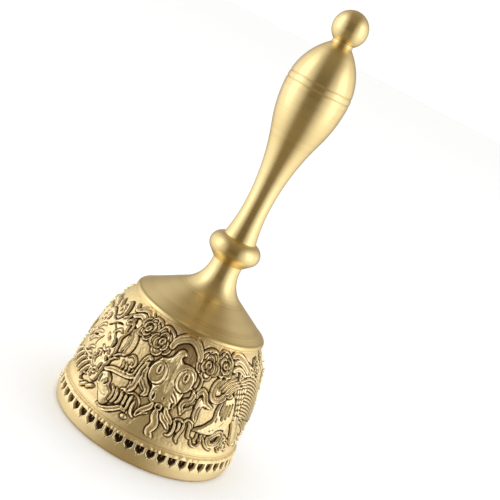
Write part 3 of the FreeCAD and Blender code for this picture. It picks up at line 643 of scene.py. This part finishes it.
def dragon(relief):
    """The long beast on the panel's left: a heavy body, cut where mane and legs lie over each other."""
    tail = [(-64, 22), (-70, 26), (-76, 28.6), (-82, 27.6), (-87, 24.4), (-91, 20.6), (-96, 17.4)]
    relief.band(tail, 2.1, 0.9, ends=0.7)
    scales(relief, tail, 1.55)
    relief.plate([
        (-37.4, 25.6), (-38.6, 28), (-36.4, 30.6), (-38, 33.4), (-42, 35), (-47, 33.8), (-50.6, 31.8),
        (-56, 30.2), (-61, 31.2), (-66, 31.8), (-71, 30.4), (-74, 27), (-72.6, 23), (-70, 19), (-64, 17),
        (-56, 17.2), (-51, 16.2), (-47, 13.8), (-41, 13.4), (-38.2, 15.6), (-37.4, 18.6), (-36.2, 22.4),
    ], 0.7, 0.5, spread=2.4)
    for width, line in (
        (0.3, [(-51, 30), (-46.6, 29), (-43, 27.6), (-41.4, 26.4)]),
        (0.6, [(-41, 27), (-40, 25.8), (-40.4, 24.6)]), (0.28, [(-49.6, 30.2), (-46, 30.8), (-43.4, 31)]),
        (0.26, [(-54.8, 28.2), (-52.4, 29), (-50.6, 29.8)]),
        (0.22, [(-51, 25.2), (-53.2, 23.6), (-53.8, 21.6)]),
        (0.55, [(-43, 35), (-43.4, 33.8), (-42.6, 32.8)]),
        (0.36, [(-38.2, 32.2), (-38.4, 31.2), (-37.8, 30.2)]), (0.34, [(-36, 32.4), (-34.8, 31.6)]),
        (0.4, [(-63.8, 28.4), (-63.2, 27.4)]), (0.34, [(-45.4, 20.2), (-46.4, 19.2), (-45.2, 18.2)]),
        (0.26, [(-47, 22.2), (-46.8, 20.8), (-48, 19.4)]),
        (0.36, [(-40, 19.4), (-40.6, 18), (-40, 16.6)]), (0.4, [(-39.6, 21.6), (-38.6, 20.6)]),
        (0.26, [(-58, 18.8), (-61, 18)]), (0.2, [(-60, 22), (-64, 20.6)]),
        (0.2, [(-57.4, 24.2), (-61.6, 23)]), (0.2, [(-46.6, 26.4), (-44.6, 25.8)]),
        (0.24, [(-44, 22.4), (-42, 21.8)]),
    ):
        relief.slot(line, width)
    for line in (
        [(-46.6, 23.4), (-43.6, 22.6), (-41.6, 23.6), (-39.4, 22.6)],
        [(-49.6, 19.8), (-48.6, 17.8), (-45.6, 16.8)], [(-52.6, 21), (-56.4, 20.2), (-59.6, 18.6)],
        [(-53, 19.2), (-56.6, 18.6)], [(-56.4, 27.6), (-60, 27), (-63.2, 25)],
        [(-55, 25.6), (-59.6, 24.8), (-64, 22.6)], [(-55.4, 23.6), (-59, 22.8), (-63, 20.6)],
        [(-48, 32.4), (-44.6, 33.6)], [(-46, 28), (-42.6, 29.6), (-39.6, 29.4)],
        [(-48.6, 26.8), (-45.4, 25.6)],
    ):
        relief.ridge(line, 0.34, 1.4, on=0.9)
    for x, z, radius, turn, phase in (
        (-42.4, 16.2, 1.0, 1, 30), (-67, 28.4, 1.3, 1, 120), (-68.4, 22.6, 1.3, -1, 60),
        (-51, 18, 0.9, -1, 0), (-46.4, 21.2, 0.9, 1, 300), (-45.6, 14.8, 0.8, -1, 90),
        (-40.4, 32.6, 0.9, 1, 45), (-61.6, 29.4, 0.9, -1, 150),
    ):
        relief.ridge(swirl((x, z), radius, 0.3, 0.95 * turn, phase), 0.32, 1.45, on=0.85, ends=0.5)
    relief.ridge([(-60.6, 34.6), (-57, 35.6), (-53, 34.8), (-50.8, 32.8), (-53, 31.2), (-57, 30.9)], 0.6, 1.0)
    relief.ridge([(-59, 32.6), (-57, 34), (-54.4, 33.4), (-55.4, 32.2)], 0.45, 0.95)
    for x, z, lean in (
        (-64, 34, 1), (-70, 33.2, 1), (-76, 33.4, 1), (-83, 32.2, 1), (-46, 36, 1), (-75, 20, -1),
    ):
        relief.ridge([
            (x + 2, z - 0.8), (x - 1.4 * lean, z + 0.1), (x - 4.6 * lean, z + 0.9),
        ], 0.5, 0.9, ends=0.9)
    relief.band([(-33.6, 31.6), (-30.6, 30.2), (-29.4, 27.8), (-30.6, 25.2)], 0.85, 0.9)
    relief.ridge([(-35, 29.8), (-33, 28.6), (-32.6, 26.6), (-34, 25.4)], 0.4)
    relief.ridge([(-37, 22.4), (-34.4, 24), (-31.6, 24.6)], 0.36)
    relief.ridge([(-37.6, 21.2), (-35.2, 22.6), (-32.6, 23.2)], 0.32)
    relief.plate([
        (-36.2, 18.6), (-32.8, 18.8), (-29.6, 17.6), (-28.4, 15.8), (-25.6, 14.8), (-23.6, 13.4),
        (-24.8, 11.2), (-28.2, 9.9), (-31, 10.8), (-34, 13), (-37, 14.4), (-37.8, 16.6),
    ], 0.62, 0.5, spread=1.8)
    relief.slot([(-31, 17.3), (-30.2, 16.5), (-31.2, 15.5)], 0.26, 0.6)
    relief.slot([(-35.4, 17.4), (-35.8, 16.2), (-35.4, 15)], 0.34, 0.7)
    relief.add([(-33.6, 15.6), (-32.8, 17), (-31.8, 16.6)], 0.36, 0.4)
    relief.add([(-34, 13.6), (-30.4, 12.8), (-27, 12.9)], 0.26, -0.3)
    relief.ridge([(-26.6, 16.4), (-24.2, 15.6), (-23.8, 13.8), (-24.8, 12.2)], 0.4, 0.95)
    relief.band([
        (-30, 9.6), (-27.4, 9.2), (-23.4, 9.9), (-19, 11.3), (-15.6, 12.6), (-12.8, 12.4),
    ], 0.5, 0.95, ends=0.7)
    for x, z in ((-41.4, 12.2), (-47, 11.2)):
        relief.ridge([(x + 3.4, z + 0.4), (x, z - 0.4), (x - 3.6, z - 1.8)], 0.6, 0.95, ends=0.8)
    relief.ridge([(-49.6, 13.2), (-52.6, 13), (-53.6, 11.6), (-52, 10.4), (-49.8, 10.9)], 0.5, 0.95)
    for x in (-52.4, -57.6, -63.2, -69.2, -75.6):
        relief.ridge([(x + 4.2, 16.6), (x + 0.6, 14.6), (x - 3.4, 11.2)], 0.68, 0.95, ends=0.8)


def scales(relief, spine, reach):
    """Rows of small scales across a body that follows a spine."""
    line = smooth_line(spine)
    along = np.gradient(line, axis=0)
    along /= np.hypot(*along.T)[:, None]
    across = np.stack((-along[:, 1], along[:, 0]), -1)
    margin, pitch = 4, 9
    bow = (-1, -0.5, 0, 0.5, 1)
    for step, k in enumerate(range(margin, len(line) - margin, pitch)):
        for lane in (-0.66, 0, 0.66) if step % 2 else (-0.33, 0.33):
            middle = line[k] + across[k] * lane * reach
            for shift, height in ((0.0, -0.45), (0.22, 0.35)):
                half = across[k] * 0.42 * reach / 1.55
                curve = [middle + half * s - along[k] * (0.5 * (s * s - 0.4) + shift) for s in bow]
                relief.add([(p[0] / to_mm(1), p[1]) for p in curve], 0.22, height, ends=0.2)


def phoenix(relief):
    """The crested bird on the panel's right: one wing raised, head down, tail and plumes trailing away."""
    relief.plate([
        (50, 34.8), (57, 36), (65, 34.6), (73, 31.2), (80, 27), (84.5, 22), (85, 17.4), (79, 18.4),
        (72, 19.4), (66, 20), (60, 20.6), (54, 20.2), (49.6, 24), (48.6, 30),
    ], 0.5, 0.2)
    for k in range(17):
        top = 35.6 - 0.95 * k
        line = [(50.6, top - 1.4), (59, top - 0.6), (68, top - 1.8), (76, top - 4.0), (84, top - 7.0)]
        relief.add(line, 0.3, 0.5, ends=0.2)
        relief.add([(x, z - 0.46) for x, z in line], 0.2, -0.4, ends=0.2)
    for k in range(4):
        relief.ridge([(66 + 2 * k, 16.4 - k), (74 + k, 13.6 - k), (82, 11.6 - 0.6 * k)], 0.36, 0.85)
    relief.band([(55.6, 21.2), (60.6, 18.6), (65, 14.6), (70, 11.6)], 1.3, 0.95, ends=0.7)
    for k in range(3):
        root = (52.4 + 1.6 * k, 15.2 - 1.3 * k)
        relief.ridge([root, (root[0] + 4.6, root[1] - 0.9), (root[0] + 9, root[1] - 3.0)], 0.4, 0.95)
    for row in range(6):
        for k in range(4):
            x, z = 50.4 + k * 2.3 + row % 2 * 1.1, 20.6 + row * 1.6 + k * 0.1
            relief.plate(oval((x, z), 0.66, 0.8, 8), 0.66, 0.1, rim=0.26)
    relief.plate([
        (40.6, 25.4), (39.2, 22.4), (39.6, 20), (37, 18.4), (33.4, 17), (30, 16.1), (29.4, 15.3), (32, 15.3),
        (34.4, 14.7), (37, 14.9), (40, 15), (43.4, 15.4), (46, 16.8), (50.4, 16.9), (52, 15.8), (53.4, 17.6),
        (54.8, 20), (53.6, 23), (51.6, 25.8), (48.4, 27.2), (44, 26.4),
    ], 0.66, 0.36, spread=1.8)
    for x, z, length in ((42.1, 24.6, 3.2), (44.3, 23.8, 3.8), (46.6, 24.2, 3.6), (49, 24.6, 3.2)):
        relief.add([(x, z + 0.6), (x - 0.3, z - length * 0.5), (x + 0.2, z - length)], 0.3, -0.7)
        relief.add([(x + 1.1, z + 0.9), (x + 0.8, z - length * 0.5), (x + 1.3, z - length)], 0.34, 0.4)
    relief.add([(40.9, 20.6), (41.2, 19.2)], 0.28, -0.4)
    relief.add([(45.4, 17.9), (47.2, 19.6)], 0.24, -0.3)
    for x, z in ((39.7, 16.5), (41.7, 16.9)):
        relief.pit((x, z), 0.24, 0.35)
    relief.pool([(34.2, 15.2), (36.6, 15.2), (36.4, 13.6), (34.4, 13.4)], 0.3, 0.9)
    for x in (33.6, 36.8):
        relief.ridge([(x, 15), (x + 0.3, 13.6), (x - 0.4, 12.4)], 0.3)
    relief.ridge([
        (31, 12.9), (32.4, 11.4), (35.4, 10.9), (37.8, 11.7), (37.4, 13.2), (35.9, 13.3),
    ], 0.36, 0.9)
    relief.pit((35.8, 12.4), 0.3, 0.4)
    relief.ridge([(38.4, 14), (41.4, 12.2), (45, 11), (49, 10.2)], 0.36)
    relief.pool([(43.6, 13.5), (46, 15), (49.8, 15.3), (50.6, 13.6), (47.6, 12.7)], 0.3, 0.7)
    eye = [(42.6, 13.8), (45.2, 15.3), (49, 16.1), (51.6, 15.2), (51.4, 13.2), (48.6, 12), (45, 12.1)]
    relief.band(eye, 0.5, 0.95, closed=True)
    relief.band([
        (33.8, 30.8), (31.7, 28.8), (31.9, 26.4), (34.2, 25.2), (38, 25.4), (42, 26.8), (46.4, 27.2),
    ], 0.62, 0.95)
    for k in range(5):
        root = (34.0 + k * 2.3, 28.6 - k * 0.55)
        end = (root[0] + 12, root[1] + 3.9 - k * 0.2)
        relief.ridge([root, (root[0] + 2.2, root[1] + 1.9), (root[0] + 6, root[1] + 3.2), end], 0.38, 1.0)


def flank_radius(z):
    """The CAD cup's outside above its mouldings: the long arc of the flank, then the shoulder's arc."""
    def on_arc(start, end, radius, height):
        (r0, z0), (r1, z1) = start, end
        length = math.hypot(r1 - r0, z1 - z0)
        lift = math.sqrt(radius ** 2 - length ** 2 / 4)
        centre_r = (r0 + r1) / 2 - (z1 - z0) / length * lift
        centre_z = (z0 + z1) / 2 + (r1 - r0) / length * lift
        return centre_r + np.sqrt(np.clip(radius ** 2 - (height - centre_z) ** 2, 0, None))
    shoulder = on_arc((24.3, 31.0), (20.1, 38.1), 18.0, z)
    return np.where(z < 31.0, on_arc((26.9, 7.7), (24.3, 31.0), 72.0, z), shoulder)


def blurred(field, spread):
    """A field smoothed over that many millimetres. It wraps round, and stops at its head and foot."""
    sigma = spread / to_mm(CELL)
    reach = int(sigma * 3) + 1
    weights = np.exp(-0.5 * (np.arange(-reach, reach + 1) / sigma) ** 2)
    weights /= weights.sum()
    rows = np.pad(field, ((reach, reach), (0, 0)), "edge")
    field = sum(w * rows[k:k + field.shape[0]] for k, w in enumerate(weights))
    return sum(w * np.roll(field, k - reach, 1) for k, w in enumerate(weights))


def panel():
    """The finished half turn: its heights, and a tone from -1 where it is worn and carries a painted
    highlight to 1 in its recesses, where it carries patina and painted shade.
    """
    relief = Relief()
    dragon(relief)
    phoenix(relief)
    clouds(relief)
    limbs(relief)
    beast_mask(relief)
    rng = np.random.default_rng(7)
    grit = rng.standard_normal((2,) + relief.height.shape)
    uneven = sum(field / field.std() for field in (blurred(grit[0], 0.5), blurred(grit[1], 0.2)))
    # Narrow places and crowded ground hold patina, deepened as painted shade. What stands proud of its
    # surroundings is rubbed bare, and made paler as a painted highlight.
    height = blurred(relief.height, 0.12)
    proud = height - blurred(height, 0.34)
    narrow = np.clip((-proud - 0.04) / 0.2, 0, 1)
    crowded = blurred(np.clip(height / 0.5, 0, 1), 1.1) * np.clip((0.3 - height) / 0.4, 0, 1)
    patina_and_shade = np.clip(1.2 * narrow + 0.85 * crowded, 0, 1)
    worn_and_highlit = np.clip(proud / 0.14, 0, 1)
    tone = np.clip(np.maximum(patina_and_shade, blurred(relief.patina_and_shade, 0.09)), 0, 1) * (1 - worn_and_highlit) - worn_and_highlit
    return 0.95 * height + 0.02 * uneven, tone


SOCKETS = 54
SOCKET_PHASE = math.radians(5.66)
MOULDING = (
    (0.9, 27.6), (1.3, 27.76), (1.8, 27.88), (2.4, 28.0), (3.0, 28.12), (3.5, 28.2), (4.2, 28.2),
    (5.2, 28.0), (6.1, 27.86), (6.5, 27.84), (6.9, 27.8), (7.3, 27.6), (7.55, 27.15), (7.75, 26.92),
    (8.0, 26.86), (8.2, 26.95), (8.7, 26.9),
)


def mouldings(angles, heights):
    """Radii of the rim, the row of pointed sockets and the fillet over it, and their tone: dark with patina
    and painted shade in the sockets and the fillet's crease, paler with wear and painted highlight on the
    darts and the ribs between sockets.
    """
    z = heights[:, None]
    radius = np.interp(heights, *zip(*MOULDING))[:, None] + 0 * angles[None]
    # A dark line in the fillet's crease: patina and painted shade.
    patina_and_shade = 0.4 * np.exp(-((z - 7.95) / 0.2) ** 2) + 0 * radius
    pitch = 2 * math.pi / SOCKETS
    aside = (np.mod(angles - SOCKET_PHASE + pitch / 2, pitch) - pitch / 2)[None] * 27.5
    point, shoulder, top, half = 4.1, 5.1, 6.4, 1.1
    width = half * np.clip((z - point) / (shoulder - point), 0, 1) ** 0.8
    inside = np.minimum(width - np.abs(aside), top - z)
    deep = np.clip(0.5 + inside / 0.22, 0, 1)
    dart = np.exp(-(aside / 0.2) ** 2) * np.clip((z - 5.2) / 0.4, 0, 1)
    ribs = np.exp(-((np.abs(aside) - width - 0.24) / 0.17) ** 2) * np.clip((z - 3.8) / 0.5, 0, 1)
    row = (z > 3.6) & (z < top + 0.2)
    radius = radius - np.where(row, deep * (1.1 - 0.7 * dart) - 0.08 * ribs, 0)
    # Sockets darkened as patina and painted shade; darts and ribs lightened as wear and painted highlight.
    patina_and_shade = np.where(row, np.maximum(patina_and_shade, 1.3 * deep - 1.1 * dart) - 1.2 * ribs, patina_and_shade)
    rng = np.random.default_rng(3)
    rough = blurred(rng.standard_normal(radius.shape), 0.25)
    radius = radius + 0.1 * rough / rough.std() * np.exp(-((z - 7.0) / 0.5) ** 2)
    return radius, np.clip(patina_and_shade, -1, 1)


def cast_cup():
    """The cup in one closed skin: mouldings, relief, crown, cavity and rim."""
    height, patina_shade_and_highlight = panel()
    columns = 2 * PANEL
    # Column 0 is a quarter turn left of the front, where the panel begins.
    angles = -math.pi / 2 + 2 * math.pi * np.arange(columns) / columns
    up = np.linspace(LOW, HIGH, ROWS)
    low = np.concatenate(((0.9, 1.3, 1.8, 2.4, 3.0), np.arange(3.3, LOW - 0.05, 0.13)))
    low_radius, low_patina_and_shade = mouldings(angles, low)
    # The relief's ground lies under the CAD's flank, which runs at the middle of its height.
    sunk = 0.55 * np.clip((up - LOW) / 1.2, 0, 1)
    ground = (flank_radius(up) - sunk)[:, None]
    fade = (np.clip((up - LOW - 0.1) / 0.8, 0, 1) * np.clip((HIGH + 0.1 - up) / 0.5, 0, 1))[:, None]
    skin = np.vstack((low_radius, ground + np.tile(height, 2) * fade))
    cup_patina_shade_and_highlight = np.vstack((low_patina_and_shade, np.tile(patina_shade_and_highlight, 2) * fade))
    heights = np.concatenate((low, up))

    crown = [(19.5, 38.68), (19.0, 38.7), (2.1, 38.7), (2.1, 36.6), (15.6, 36.6)]
    cavity = arc((16.0, 36.6), (23.8, 18.0), -20.0, 14)
    foot = straight((23.8, 18.0), (23.6, 5.0), 8) + straight((23.6, 5.0), (24.55, 0.25), 4)
    foot += [(24.75, 0.0), (26.6, 0.0)] + arc((26.7, 0.0), (27.6, 0.9), 0.9, 6)[:-1]
    plain = crown + cavity + foot
    radii = np.vstack((skin, np.repeat([[r] for r, _ in plain], columns, 1)))
    levels = np.concatenate((heights, [z for _, z in plain]))
    # Inside, the brass is dull all over, and a little brighter on the rim's underside.
    inner = [0.25 if z < 1 else 0.4 for _, z in plain]
    cup_patina_shade_and_highlight = np.vstack((cup_patina_shade_and_highlight, np.repeat(np.array(inner)[:, None], columns, 1)))

    x = radii * np.sin(angles)
    y = -radii * np.cos(angles)
    z = np.repeat(levels[:, None], columns, 1)
    rows = len(levels)
    index = np.arange(rows * columns).reshape(rows, columns)
    here, right = index, np.roll(index, -1, 1)
    above, diagonal = np.roll(here, -1, 0), np.roll(right, -1, 0)
    faces = np.stack((here, right, diagonal, above), -1).reshape(-1, 4)
    obj = mesh_object("cup_cast", np.stack((x, y, z), -1).reshape(-1, 3), faces.tolist(), sharp=70)
    mesh = obj.data
    # The tone attribute carries patina and painted shade in the recesses, wear and painted highlight on the
    # crests.
    mesh.attributes.new("patina_shade_and_highlight", "FLOAT", "POINT").data.foreach_set("value", cup_patina_shade_and_highlight.ravel())

    # A plain chart for baking: round the cup one way, along its closed outline the other.
    along = np.concatenate(((0,), np.cumsum(np.hypot(np.diff(radii.mean(1)), np.diff(levels)))))
    top = along[-1] + 1
    corner_u = (np.arange(columns)[None, :, None] + np.array((0, 1, 1, 0))) / columns
    start = np.concatenate((along, (top,)))
    corner_v = np.stack((start[:-1], start[:-1], start[1:], start[1:]), -1)[:, None] / top
    chart = np.stack(np.broadcast_arrays(corner_u, corner_v), -1)
    mesh.uv_layers.new(name="OFBake").data.foreach_set("uv", chart.ravel())
    return obj


# ---------------------------------------------------------------------------------------------
# The studio
# ---------------------------------------------------------------------------------------------


def floor():
    """A wide pale floor, kept out of the brass."""
    count = 48
    radii = (0.5, 2.0, 12.0)
    vertices = [(0, 0, 0)]
    for radius in radii:
        for k in range(count):
            a = 2 * math.pi * k / count
            vertices.append((radius * math.cos(a), radius * math.sin(a), 0))
    faces = []
    for k in range(count):
        m = (k + 1) % count
        faces.append((0, 1 + k, 1 + m))
        for ring in range(len(radii) - 1):
            near, far = 1 + ring * count, 1 + (ring + 1) * count
            faces.append((near + k, far + k, far + m, near + m))
    obj = mesh_object("studio_floor", np.array(vertices) / MM, faces)
    obj.data.materials.append(paper())
    obj.visible_glossy = False


def area_light(name, shape, size, power):
    """An area lamp, in the scene but not yet in its place."""
    data = bpy.data.lights.new(name, "AREA")
    data.shape, data.size, data.energy = shape, size, power
    lamp = bpy.data.objects.new(name, data)
    bpy.context.scene.collection.objects.link(lamp)
    return lamp


def softbox(name, azimuth):
    """A tall lamp on one side, for the brass only. Azimuth 0 is the front, positive to the right."""
    distance, height, target = 0.8, 0.3, 0.06
    a = math.radians(azimuth)
    lamp = area_light(name, "RECTANGLE", 0.5, 0.8)
    lamp.data.size_y = 0.9
    lamp.location = Vector((distance * math.sin(a), -distance * math.cos(a), height))
    lamp.rotation_euler = (Vector((0, 0, target)) - lamp.location).to_track_quat("-Z", "Y").to_euler()
    lamp.visible_diffuse = False


def surroundings():
    """White round about. What the brass reflects is a tan room with a broad wall of light on each side."""
    white = (1.08, 1.08, 1.08, 1)
    front = (0.16, 0.12, 0.06, 1)
    above_and_below = (0.27, 0.21, 0.12, 1)
    behind = (0.42, 0.37, 0.29, 1)
    walls = (1.16, 1.12, 1.04, 1)
    world = bpy.data.worlds.new("studio")
    world.use_nodes = True
    n = Nodes(world.node_tree)
    way = n.add("SeparateXYZ", {"Vector": n.add("TexCoord").outputs["Generated"]}).outputs
    side = n.span(n.maths("ABSOLUTE", way["X"]), 0.36, 0.86)
    back = n.span(way["Y"], 0.1, 0.9)
    tone = n.mix(n.span(way["Z"], 0.0, -0.6), front, above_and_below)
    tone = n.mix(n.span(way["Z"], 0.35, 0.95), tone, above_and_below)
    tone = n.mix(back, tone, behind)
    tone = n.mix(side, tone, walls)
    tone = n.mix(n.add("LightPath").outputs["Is Glossy Ray"], white, tone)
    n.plug(n.tree.nodes["Background"], "Color", tone)
    bpy.context.scene.world = world


def floor_light():
    """Soft light from above that whitens the floor and stays out of the brass."""
    lamp = area_light("floor_light", "DISK", 1.6, 4)
    lamp.location = (0, 0.2, 1.8)
    lamp.visible_glossy = False


def camera():
    """A little above the bell and close to it, rolled so that the handle leans to the right."""
    data = bpy.data.cameras.new("camera")
    data.lens, data.sensor_width = 73.94, 36.0
    data.clip_start = 0.01
    cam = bpy.data.objects.new("camera", data)
    look_down, roll = math.radians(12.2), math.radians(27.9)
    turn = Matrix.Rotation(math.pi / 2 - look_down, 4, "X") @ Matrix.Rotation(roll, 4, "Z")
    place = (0.00397, -0.28435, 0.1236)
    cam.matrix_world = Matrix.Translation(place) @ turn
    bpy.context.scene.collection.objects.link(cam)
    bpy.context.scene.camera = cam


satin = turned_brass()
dress(cast_cup(), cast_brass(), "bell_cup")
dress(shoulder_cap(), satin, "shoulder_cap")
dress(collar_bead(), satin, "collar_bead")
dress(handle_grip(), satin, "handle_grip")
dress(finial_ball(), satin, "finial_ball")

hardware = plain_brass("brass_hardware", (0.62, 0.47, 0.22, 1), 0.3)
wire = plain_brass("brass_wire", (0.66, 0.50, 0.25, 1), 0.26)
bob = plain_brass("bob_brass", (0.64, 0.49, 0.25, 1), 0.3)
for node, material in (
    ("eye_bolt", hardware), ("crown_washer", hardware), ("crown_nut", hardware), ("hanger_ring", wire),
    ("clapper_rod", wire), ("clapper_bob", bob),
):
    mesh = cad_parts[node].data
    mesh.materials.clear()
    mesh.materials.append(material)

floor()
surroundings()
softbox("softbox_left", -80)
softbox("softbox_right", 80)
floor_light()
bpy.context.scene.view_settings.view_transform = "Standard"
camera()
